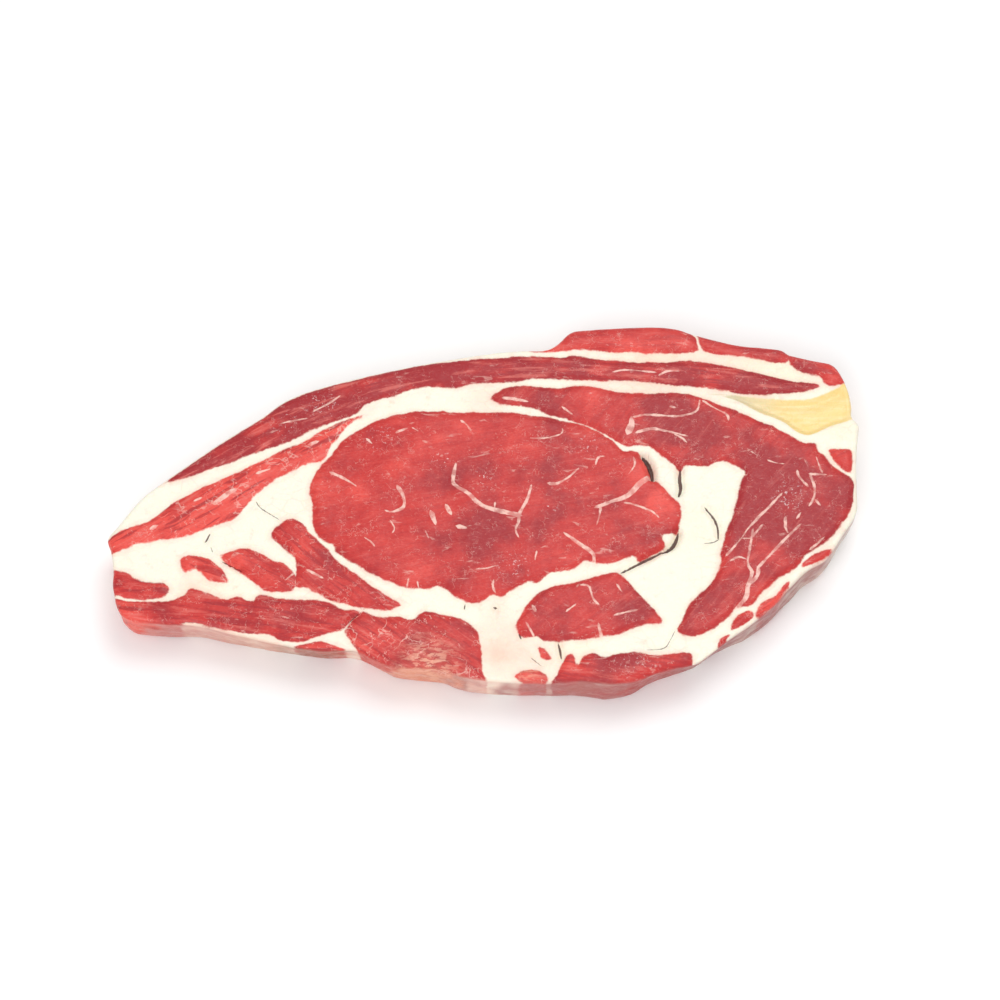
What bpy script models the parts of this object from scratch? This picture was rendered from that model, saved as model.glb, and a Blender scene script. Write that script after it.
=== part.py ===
"""A raw ribeye steak: one slice of meat, 257 mm long, lying flat on its underside.

The slice is a single closed solid. Its outline is one smooth curve through hand-placed
points, read clockwise from the left tip. The side wall leans in towards the underside,
the upper edge is softly rounded, and the cut face carries the relief of the meat: the
sunk fat seams between the muscles, the open splits, and the ligament in its hollow.

Units in the lists below are millimetres, x to the right, y away from the viewer.
The origin is under the middle of the slice, on the surface that it lies on.
"""

import math

import bpy
import bmesh
import numpy as np
from mathutils import Vector, noise

MM = 0.001

# Driving dimensions
THICKNESS = 18.0
TOP_ROUND = 1.9
UNDERSIDE_ROUND = 3.6
LEAN_REACH = 24.0
WALL_BULGE = 0.8
MUSCLE_RISE = 0.55
SEAM_DEPTH = 0.85
LUMP_HEIGHT = 0.35
LUMP_SIZE = 14.0

# Mesh fineness
CURVE_STEP = 1.5
VOXEL = 1.5
TRIANGLES = 10400

# Outline of the upper edge, clockwise from the left tip, in stretches
BACK_OF_TAIL = [
    (-127.2, -13.5), (-124.0, -8.5), (-117.0, 1.5), (-109.5, 8.3), (-100.0, 16.0), (-90.0, 23.8),
    (-77.0, 33.0), (-67.0, 40.8), (-50.0, 47.0), (-25.0, 53.4), (0.0, 58.2), (12.0, 59.6),
]
BACK_FAT_RIDGE = [
    (21.0, 59.8), (25.5, 62.0), (30.0, 66.4), (36.0, 67.8), (57.0, 69.0), (67.0, 68.3), (73.0, 66.2),
    (80.0, 64.0), (90.0, 61.5), (103.0, 60.0), (107.0, 57.8), (115.0, 55.6), (121.5, 54.0),
]
RIGHT_END = [
    (124.5, 50.0), (126.8, 44.0), (127.7, 38.0), (127.5, 33.2), (129.6, 30.4), (129.4, 26.5),
    (128.2, 17.0), (127.6, 4.0), (126.9, -4.0), (122.5, -11.0), (116.0, -20.8), (109.0, -25.2),
]
FRONT_RIGHT = [
    (102.5, -32.0), (97.0, -38.5), (90.5, -44.3), (82.0, -50.6), (76.0, -55.8), (70.0, -59.8),
    (60.0, -62.0), (50.0, -65.7), (42.0, -66.2), (32.0, -65.3), (20.0, -66.2), (0.0, -65.2),
]
FRONT_MIDDLE = [
    (-9.0, -63.2), (-15.0, -61.2), (-28.0, -60.8), (-35.0, -58.4), (-43.0, -54.8), (-54.0, -55.0),
    (-66.0, -52.8), (-84.0, -48.4), (-96.0, -45.4), (-106.0, -45.1),
]
LEFT_END = [
    (-117.0, -43.8), (-122.0, -40.0), (-124.3, -32.0), (-124.6, -26.0), (-125.6, -19.0),
]
OUTLINE = BACK_OF_TAIL + BACK_FAT_RIDGE + RIGHT_END + FRONT_RIGHT + FRONT_MIDDLE + LEFT_END

# How far the foot of the wall sits inside the upper edge: (x, front wall), the back is even
BACK_LEAN = 1.5
FRONT_LEAN = [
    (-125.0, 2.0), (-95.0, 2.6), (-66.0, 4.5), (-54.0, 5.0), (-42.0, 4.5), (-22.0, 2.3),
    (-10.0, 1.5), (20.0, 2.0), (40.0, 0.4), (56.0, 3.5), (70.0, 6.0), (78.0, 5.0),
    (88.0, 1.9), (104.0, 0.4), (128.0, 2.0),
]

# Fat seams between the muscles: middle line of each, with half its width
SEAMS = {
    "under the back strip": (1.6, [
        (-112.0, 2.5), (-100.0, 6.8), (-90.0, 11.2), (-76.0, 18.2), (-62.0, 25.0), (-50.0, 31.0),
        (-40.0, 35.8), (-24.0, 40.0), (-6.0, 42.0), (8.0, 45.8), (32.0, 46.4), (56.0, 44.8),
        (76.0, 42.8),
    ]),
    "between eye and cap": (2.2, [
        (-38.0, 33.0), (-20.0, 37.6), (2.0, 37.0), (22.0, 33.2), (38.0, 28.4), (49.0, 21.0),
    ]),
    "left of the eye": (3.4, [
        (-124.0, -22.5), (-108.0, -18.0), (-94.0, -15.4), (-82.0, -10.5), (-74.0, -4.0),
        (-65.0, 6.0), (-56.0, 18.5), (-48.0, 29.0),
    ]),
    "under the eye": (2.4, [
        (-70.0, 2.0), (-62.0, -6.0), (-54.0, -15.8), (-44.0, -24.5), (-30.0, -33.2), (-14.0, -36.8),
        (-2.0, -40.2), (10.0, -36.0), (18.0, -31.0), (30.0, -27.0), (42.0, -24.6),
    ]),
    "right of the eye": (5.5, [
        (72.0, 8.0), (76.0, -2.0), (73.0, -14.0), (68.0, -25.0), (61.0, -36.0),
    ]),
    "along the tail": (2.0, [
        (-112.0, -33.4), (-102.0, -31.0), (-90.0, -32.6), (-74.0, -34.2), (-58.0, -34.4),
        (-42.0, -39.6), (-26.0, -40.8), (-12.0, -40.0),
    ]),
    "front fat": (5.0, [(4.0, -42.0), (5.0, -54.0), (10.0, -61.0)]),
    "above the ribs": (2.0, [
        (12.0, -52.5), (30.0, -53.6), (48.0, -51.0), (62.0, -52.5), (76.0, -50.5), (92.0, -41.0),
        (106.0, -28.0), (118.0, -15.0),
    ]),
    "beside the flap": (1.4, [(-66.0, -53.0), (-52.0, -50.4), (-44.5, -47.0), (-41.5, -41.5)]),
    "back ridge": (1.3, [
        (8.0, 57.8), (32.0, 57.9), (60.0, 56.4), (84.0, 55.4), (100.0, 52.0), (118.0, 46.4),
    ]),
}

# Open splits: half width, depth, middle line
SPLITS = {
    "left of the fat tongue": (1.1, 4.2, [(54.8, 18.2), (56.5, 15.5), (57.6, 12.0), (57.9, 9.5)]),
    "right of the fat tongue": (0.9, 3.4, [(67.5, 13.2), (67.2, 9.5), (67.5, 6.5), (66.7, 3.5)]),
    "in the inner fat": (0.8, 2.2, [(75.5, -1.5), (78.3, -5.5), (79.5, -9.0), (79.6, -13.0)]),
    "under the eye's lobe": (1.2, 4.4, [(66.1, -10.8), (65.2, -13.6), (63.9, -15.8), (61.5, -17.6)]),
    "along the eye's foot": (0.9, 2.6, [(61.5, -17.6), (56.5, -20.3), (51.0, -23.2), (46.6, -25.6)]),
    "beside the rib meat": (0.8, 2.4, [(25.0, -51.5), (25.6, -54.0), (26.3, -58.0)]),
    "in the tail lobe": (0.9, 1.8, [(-88.0, -21.6), (-84.5, -23.7), (-81.3, -25.4)]),
}

# The ligament: its outline, and how deep the hollow is that it lies in
LIGAMENT_DEPTH = 2.0
LIGAMENT_CROWN = 0.9
LIGAMENT = [
    (77.0, 42.2), (86.0, 41.8), (96.0, 40.6), (106.0, 39.9), (114.0, 40.6), (122.0, 44.0),
    (126.2, 46.0), (128.5, 40.0), (127.0, 33.0), (120.0, 29.4), (112.5, 26.0), (108.0, 27.2),
    (103.0, 31.3), (95.0, 35.0), (88.0, 39.2), (82.0, 41.2),
]

MEAT_RED = (0.52, 0.075, 0.07, 1.0)


def smooth_curve(points, step, closed):
    """Points every step or so along the smooth curve that passes through the given ones."""
    count = len(points)
    spans = count if closed else count - 1
    curve = []
    for i in range(spans):
        if closed:
            corners = [points[(i + k) % count] for k in (-1, 0, 1, 2)]
        else:
            corners = [points[min(max(i + k, 0), count - 1)] for k in (-1, 0, 1, 2)]
        before, start, end, after = (np.array(p, float) for p in corners)
        pieces = max(1, round(float(np.linalg.norm(end - start)) / step))
        for j in range(pieces):
            t = j / pieces
            curve.append(0.5 * (
                2.0 * start
                + (end - before) * t
                + (2.0 * before - 5.0 * start + 4.0 * end - after) * t ** 2
                + (3.0 * start - before - 3.0 * end + after) * t ** 3
            ))
    if not closed:
        curve.append(np.array(points[-1], float))
    return np.array(curve)


def nearest_on(curve, places, closed):
    """Distance from each place to the curve, and the curve's left-hand normal there."""
    ends = np.roll(curve, -1, axis=0) if closed else curve[1:]
    starts = curve if closed else curve[:-1]
    best = np.full(len(places), np.inf)
    normal = np.zeros((len(places), 2))
    for a, b in zip(starts, ends):
        along = b - a
        length = max(float(along @ along), 1e-12)
        t = np.clip((places - a) @ along / length, 0.0, 1.0)
        distance = np.linalg.norm(places - a - t[:, None] * along, axis=1)
        nearer = distance < best
        best[nearer] = distance[nearer]
        normal[nearer] = np.array([-along[1], along[0]]) / math.sqrt(length)
    return best, normal


def inside(curve, places):
    """True for each place that lies within the closed curve, by counting crossings."""
    x, y = places[:, 0], places[:, 1]
    within = np.zeros(len(places), bool)
    for (ax, ay), (bx, by) in zip(curve, np.roll(curve, -1, axis=0)):
        if ay == by:
            continue
        crosses = (ay > y) != (by > y)
        within ^= crosses & (x < ax + (y - ay) / (by - ay) * (bx - ax))
    return within


def slab(outline):
    """The outline as a flat face, extruded to the slice's thickness."""
    bm = bmesh.new()
    corners = [bm.verts.new((x * MM, y * MM, 0.0)) for x, y in outline]
    face = bm.faces.new(corners)
    grown = bmesh.ops.extrude_face_region(bm, geom=[face])
    lifted = [v for v in grown["geom"] if isinstance(v, bmesh.types.BMVert)]
    bmesh.ops.translate(bm, verts=lifted, vec=(0.0, 0.0, THICKNESS * MM))
    bmesh.ops.recalc_face_normals(bm, faces=bm.faces)
    mesh = bpy.data.meshes.new("steak")
    bm.to_mesh(mesh)
    bm.free()
    return mesh


def with_modifier_applied(steak):
    """Replace the object's mesh by what its modifiers make of it."""
    bpy.context.view_layer.update()
    evaluated = steak.evaluated_get(bpy.context.evaluated_depsgraph_get())
    finished = bpy.data.meshes.new_from_object(evaluated)
    old = steak.data
    steak.modifiers.clear()
    steak.data = finished
    bpy.data.meshes.remove(old)
    finished.name = "steak"


def remeshed(steak):
    """An even skin of small quads over the slab, which the relief can then bend."""
    remesh = steak.modifiers.new("even skin", "REMESH")
    remesh.mode = "VOXEL"
    remesh.voxel_size = VOXEL * MM
    remesh.use_smooth_shade = True
    with_modifier_applied(steak)


def cut_face_relief(places):
    """Height added to the cut face at each place: muscles up, seams and splits down."""
    height = np.full(len(places), MUSCLE_RISE)
    for half_width, line in SEAMS.values():
        away, _ = nearest_on(smooth_curve(line, CURVE_STEP, False), places, False)
        groove = np.exp(-((away / (half_width * 1.35)) ** 2))
        height = np.minimum(height, MUSCLE_RISE - SEAM_DEPTH * groove)
    for half_width, depth, line in SPLITS.values():
        away, _ = nearest_on(smooth_curve(line, CURVE_STEP, False), places, False)
        height -= depth * np.exp(-((away / (half_width * 1.25)) ** 2))
    curve = smooth_curve(LIGAMENT, CURVE_STEP, True)
    away, _ = nearest_on(curve, places, True)
    held = inside(curve, places)
    bowl = np.clip(away / 2.2, 0.0, 1.0) * held
    crown = np.clip((away - 2.2) / 5.0, 0.0, 1.0) * held
    return height - LIGAMENT_DEPTH * bowl + LIGAMENT_CROWN * np.sin(crown * math.pi / 2.0)


def lumps(places, heights):
    """A slow unevenness, different at each place, between -1 and 1."""
    return np.array([
        noise.noise(Vector((x, y, z)) / LUMP_SIZE) for (x, y), z in zip(places, heights)
    ])


def shaped(steak, outline):
    """Round the edges, lean the wall in, and raise the relief of the cut face."""
    mesh = steak.data
    flat = np.empty(len(mesh.vertices) * 3)
    mesh.vertices.foreach_get("co", flat)
    place = flat.reshape(-1, 3) / MM
    xy, z = place[:, :2].copy(), np.clip(place[:, 2], 0.0, THICKNESS)

    depth, outward = nearest_on(outline, xy, True)
    depth[~inside(outline, xy)] = 0.0
    on_top = z > THICKNESS - 0.3 * VOXEL
    on_foot = z < 0.3 * VOXEL

    # Both edges become quarter rounds, met evenly from the face and from the wall
    inward = np.zeros(len(z))
    lift = z.copy()
    for radius, down, face in ((TOP_ROUND, THICKNESS - z, on_top), (UNDERSIDE_ROUND, z, on_foot)):
        run = np.where(face, radius - depth, radius + down)
        turn = np.clip(run / (2.0 * radius), 0.0, 1.0) * math.pi / 2.0
        near = (run > 0.0) & (run < 2.0 * radius)
        inward = np.where(near, radius - radius * np.sin(turn) - depth, inward)
        drop = radius - radius * np.cos(turn)
        edge = THICKNESS - drop if face is on_top else drop
        lift = np.where(near, edge, lift)
    lift = np.where(on_foot & (depth > UNDERSIDE_ROUND), 0.0, lift)

    # The wall leans in towards its foot, more at the front, and swells at mid height
    faces_front = np.clip(-outward[:, 1] * 2.0 + 0.5, 0.0, 1.0)
    xs, leans = np.array(FRONT_LEAN).T
    lean = BACK_LEAN + (np.interp(xy[:, 0], xs, leans) - BACK_LEAN) * faces_front
    down = np.clip(1.0 - lift / THICKNESS, 0.0, 1.0)
    fade = np.clip(1.0 - depth / LEAN_REACH, 0.0, 1.0) ** 2
    inward += lean * down * fade
    wall = ~on_top & ~on_foot
    inward -= WALL_BULGE * np.sin(math.pi * down) * down * wall
    inward += 0.6 * lumps(xy, z) * wall * np.sin(math.pi * down)
    moved = xy - outward * inward[:, None]

    # Relief fades out at the rounded edge, so the wall keeps its height
    relief = cut_face_relief(xy) + LUMP_HEIGHT * lumps(xy, z)
    top_share = np.clip((lift / THICKNESS - 0.55) / 0.4, 0.0, 1.0)
    edge_share = np.where(on_top, np.clip(depth / 3.0, 0.35, 1.0), 0.35)
    lift = lift + relief * top_share * edge_share

    centre = (moved.min(axis=0) + moved.max(axis=0)) / 2.0
    moved -= centre
    mesh.vertices.foreach_set("co", (np.column_stack([moved, lift]) * MM).ravel())
    mesh.update()


def thinned(steak):
    """Fewer, larger triangles where the surface is nearly flat."""
    mesh = steak.data
    mesh.calc_loop_triangles()
    decimate = steak.modifiers.new("fewer triangles", "DECIMATE")
    decimate.decimate_type = "COLLAPSE"
    decimate.ratio = TRIANGLES / len(mesh.loop_triangles)
    decimate.use_collapse_triangulate = True
    with_modifier_applied(steak)


def settled(steak):
    """Lay the underside exactly flat on the surface, and the middle over the origin."""
    mesh = steak.data
    flat = np.empty(len(mesh.vertices) * 3)
    mesh.vertices.foreach_get("co", flat)
    place = flat.reshape(-1, 3)
    place[:, 2] -= place[:, 2].min()
    place[place[:, 2] < 0.06 * MM, 2] = 0.0
    place[:, :2] -= (place[:, :2].min(axis=0) + place[:, :2].max(axis=0)) / 2.0
    mesh.vertices.foreach_set("co", place.ravel())
    mesh.update()


def raw_meat():
    material = bpy.data.materials.new("raw meat")
    material.use_nodes = True
    shader = material.node_tree.nodes["Principled BSDF"]
    shader.inputs["Base Color"].default_value = MEAT_RED
    shader.inputs["Roughness"].default_value = 0.38
    shader.inputs["Metallic"].default_value = 0.0
    return material


def main():
    for old in list(bpy.data.objects):
        bpy.data.objects.remove(old)
    collection = bpy.data.collections.new("ribeye_steak")
    bpy.context.scene.collection.children.link(collection)

    outline = smooth_curve(OUTLINE, CURVE_STEP, True)
    steak = bpy.data.objects.new("steak", slab(outline))
    collection.objects.link(steak)
    remeshed(steak)
    shaped(steak, outline)
    thinned(steak)
    settled(steak)
    steak.data.materials.clear()
    steak.data.materials.append(raw_meat())
    steak.data.shade_smooth()


main()
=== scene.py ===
# %% [markdown]
# # A raw ribeye steak
# One slice of raw beef lies flat on a white table. The construction model is already there as a
# fixed frame, and this file dresses it: a finer skin of the same form, and the colours and wet
# gloss of meat. The first cell loads the frame and keeps its box, so that the shaped slice can be
# held inside it.

# %% Load the frame
import math
import bpy
import bmesh
import numpy as np
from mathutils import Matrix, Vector, noise


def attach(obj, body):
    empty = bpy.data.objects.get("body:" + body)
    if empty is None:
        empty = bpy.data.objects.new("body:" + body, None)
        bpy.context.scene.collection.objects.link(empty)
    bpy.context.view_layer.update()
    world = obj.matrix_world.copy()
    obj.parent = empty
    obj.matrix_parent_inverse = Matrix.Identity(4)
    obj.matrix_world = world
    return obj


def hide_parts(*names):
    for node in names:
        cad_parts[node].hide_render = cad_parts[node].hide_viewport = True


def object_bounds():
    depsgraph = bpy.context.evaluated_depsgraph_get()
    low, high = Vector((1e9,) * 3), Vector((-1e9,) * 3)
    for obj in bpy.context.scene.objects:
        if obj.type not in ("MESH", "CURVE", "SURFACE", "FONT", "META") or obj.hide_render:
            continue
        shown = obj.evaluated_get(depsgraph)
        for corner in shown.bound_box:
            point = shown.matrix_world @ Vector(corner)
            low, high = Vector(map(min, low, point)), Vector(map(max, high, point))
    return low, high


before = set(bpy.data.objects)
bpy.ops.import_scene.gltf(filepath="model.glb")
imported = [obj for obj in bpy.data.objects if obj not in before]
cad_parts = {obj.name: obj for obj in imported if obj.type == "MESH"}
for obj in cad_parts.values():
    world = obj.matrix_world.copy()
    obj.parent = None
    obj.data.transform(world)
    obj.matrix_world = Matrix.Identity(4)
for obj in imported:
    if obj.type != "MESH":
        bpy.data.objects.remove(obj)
cad_box = [list(map(float, corner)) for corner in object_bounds()]
print("construction box, mm:", [[round(v * 1000, 1) for v in corner] for corner in cad_box])

MM = 0.001
THICKNESS = 18.0

# The middle of the outline as it is drawn below
MIDDLE = np.array([1.1, 1.35])

# %% [markdown]
# The slice's outline, its muscles and its veins of fat are all drawn as lines seen from above, in
# millimetres. A few points and a smooth curve through them are enough, because meat has no straight
# edges. Everything later is worked out from how far a place lies from such a line, so the cell
# makes those measuring tools first.

# %% Smooth lines and distances to them
def smooth_curve(points, step=1.0, closed=False):
    """Points every step or so along the smooth curve through the given ones."""
    count = len(points)
    curve = []
    for i in range(count if closed else count - 1):
        if closed:
            corners = [points[(i + k) % count] for k in (-1, 0, 1, 2)]
        else:
            corners = [points[min(max(i + k, 0), count - 1)] for k in (-1, 0, 1, 2)]
        before, start, end, after = (np.array(p, float) for p in corners)
        pieces = max(1, round(float(np.linalg.norm(end - start)) / step))
        for j in range(pieces):
            t = j / pieces
            curve.append(0.5 * (
                2.0 * start + (end - before) * t
                + (2.0 * before - 5.0 * start + 4.0 * end - after) * t ** 2
                + (3.0 * start - before - 3.0 * end + after) * t ** 3))
    if not closed:
        curve.append(np.array(points[-1], float))
    return np.array(curve)


def follow(curve, places, closed=False, reach=1e9):
    """For each place: distance to the curve, side offset, share of its length, overshoot."""
    near = np.all((places > curve.min(0) - reach) & (places < curve.max(0) + reach), axis=1)
    index = np.nonzero(near)[0]
    spots = places[index]
    distance = np.full(len(places), 1e3)
    offset = np.full(len(places), 1e3)
    share = np.zeros(len(places))
    past = np.zeros(len(places))
    normal = np.zeros((len(places), 2))
    best = np.full(len(spots), 1e3)
    ends = np.roll(curve, -1, axis=0) if closed else curve[1:]
    starts = curve if closed else curve[:-1]
    for i, (a, b) in enumerate(zip(starts, ends)):
        along = b - a
        length = max(float(np.hypot(*along)), 1e-9)
        way = along / length
        run = (spots - a) @ way
        held = np.clip(run, 0.0, length)
        gap = spots - a - held[:, None] * way
        away = np.hypot(gap[:, 0], gap[:, 1])
        closer = away < best
        best[closer] = away[closer]
        which = index[closer]
        distance[which] = away[closer]
        side = gap[closer] @ np.array([-way[1], way[0]])
        offset[which] = side
        share[which] = (i + held[closer] / length) / len(starts)
        past[which] = np.abs(run - held)[closer]
        normal[which] = (-way[1], way[0])
    return distance, offset, share, past, normal


def inside(curve, places):
    x, y = places[:, 0], places[:, 1]
    within = np.zeros(len(places), bool)
    for (ax, ay), (bx, by) in zip(curve, np.roll(curve, -1, axis=0)):
        if ay != by:
            crosses = (ay > y) != (by > y)
            within ^= crosses & (x < ax + (y - ay) / (by - ay) * (bx - ax))
    return within


DEPTH_REACH = 8.0


def depth_in(points, places):
    """How deep each place lies inside the closed line, negative outside it."""
    curve = smooth_curve(points, 1.0, True)
    away = np.minimum(follow(curve, places, True, DEPTH_REACH)[0], DEPTH_REACH)
    return np.where(inside(curve, places), away, -away)


def step_between(low, high, value):
    t = np.clip((value - low) / (high - low), 0.0, 1.0)
    return t * t * (3.0 - 2.0 * t)


# %% [markdown]
# The slice is cut straight across the rib, so its body is an outline pulled up to 18 mm.
# A voxel remesh then gives the whole skin small even quads. That suits a form with soft relief all
# over better than a few big faces would, because any vertex can then be pushed to where it belongs.

# %% The slice's outline
OUTLINE = [
    (-127.2, -13.5), (-124.0, -8.5), (-117.0, 1.5), (-109.5, 8.3), (-100.0, 16.0), (-90.0, 23.8),
    (-77.0, 33.0), (-67.0, 40.8), (-50.0, 47.0), (-25.0, 53.4), (0.0, 58.2), (12.0, 59.6),
    (21.0, 59.8), (25.5, 62.0), (30.0, 66.4), (36.0, 67.8), (57.0, 69.0), (67.0, 68.3), (73.0, 66.2),
    (80.0, 64.0), (90.0, 61.5), (103.0, 60.0), (107.0, 57.8), (115.0, 55.6), (121.5, 54.0),
    (124.5, 50.0), (126.8, 44.0), (127.7, 38.0), (127.5, 33.2), (129.6, 30.4), (129.4, 26.5),
    (128.2, 17.0), (127.6, 4.0), (126.9, -4.0), (122.5, -11.0), (116.0, -20.8), (109.0, -25.2),
    (102.5, -32.0), (97.0, -38.5), (90.5, -44.3), (82.0, -50.6), (76.0, -55.8), (70.0, -59.8),
    (60.0, -62.0), (50.0, -65.7), (42.0, -66.2), (32.0, -65.3), (20.0, -66.2), (0.0, -65.2),
    (-9.0, -63.2), (-15.0, -61.2), (-28.0, -60.8), (-35.0, -58.4), (-43.0, -54.8), (-54.0, -55.0),
    (-66.0, -52.8), (-84.0, -48.4), (-96.0, -45.4), (-106.0, -45.1),
    (-117.0, -43.8), (-122.0, -40.0), (-124.3, -32.0), (-124.6, -26.0), (-125.6, -19.0),
]
SKIN_QUAD = 0.92

rim = smooth_curve(OUTLINE, 1.0, True)
bm = bmesh.new()
slab_face = bm.faces.new([bm.verts.new((x * MM, y * MM, 0.0)) for x, y in rim])
pulled = bmesh.ops.extrude_face_region(bm, geom=[slab_face])
lifted = [v for v in pulled["geom"] if isinstance(v, bmesh.types.BMVert)]
bmesh.ops.translate(bm, verts=lifted, vec=(0.0, 0.0, THICKNESS * MM))
bmesh.ops.recalc_face_normals(bm, faces=bm.faces)
slab_mesh = bpy.data.meshes.new("steak_slab")
bm.to_mesh(slab_mesh)
bm.free()
slab = bpy.data.objects.new("steak_slab", slab_mesh)
bpy.context.scene.collection.objects.link(slab)
remesh = slab.modifiers.new("even skin", "REMESH")
remesh.mode = "VOXEL"
remesh.voxel_size = SKIN_QUAD * MM
remesh.use_smooth_shade = True
bpy.context.view_layer.update()
skin_mesh = bpy.data.meshes.new_from_object(
    slab.evaluated_get(bpy.context.evaluated_depsgraph_get()))
bpy.data.objects.remove(slab)
steak = bpy.data.objects.new("ribeye_steak", skin_mesh)
bpy.context.scene.collection.objects.link(steak)
skin_mesh.calc_loop_triangles()
print("skin:", len(skin_mesh.vertices), "vertices,", len(skin_mesh.loop_triangles), "triangles")

place = np.empty(len(skin_mesh.vertices) * 3)
skin_mesh.vertices.foreach_get("co", place)
place = place.reshape(-1, 3) / MM
xy = place[:, :2].copy()
z = np.clip(place[:, 2], 0.0, THICKNESS)

# %% [markdown]
# A ribeye is a bundle of muscles, each wrapped in fat. In the slice they show as red fields with
# cream seams between them: the long eye in the middle, the cap that curls round its right side,
# two strips along the back, and the ends of the rib meat and the flap in front. Each is one closed
# line here. Neighbours go into different bands, so that a thin seam between two stays sharp.

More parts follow.
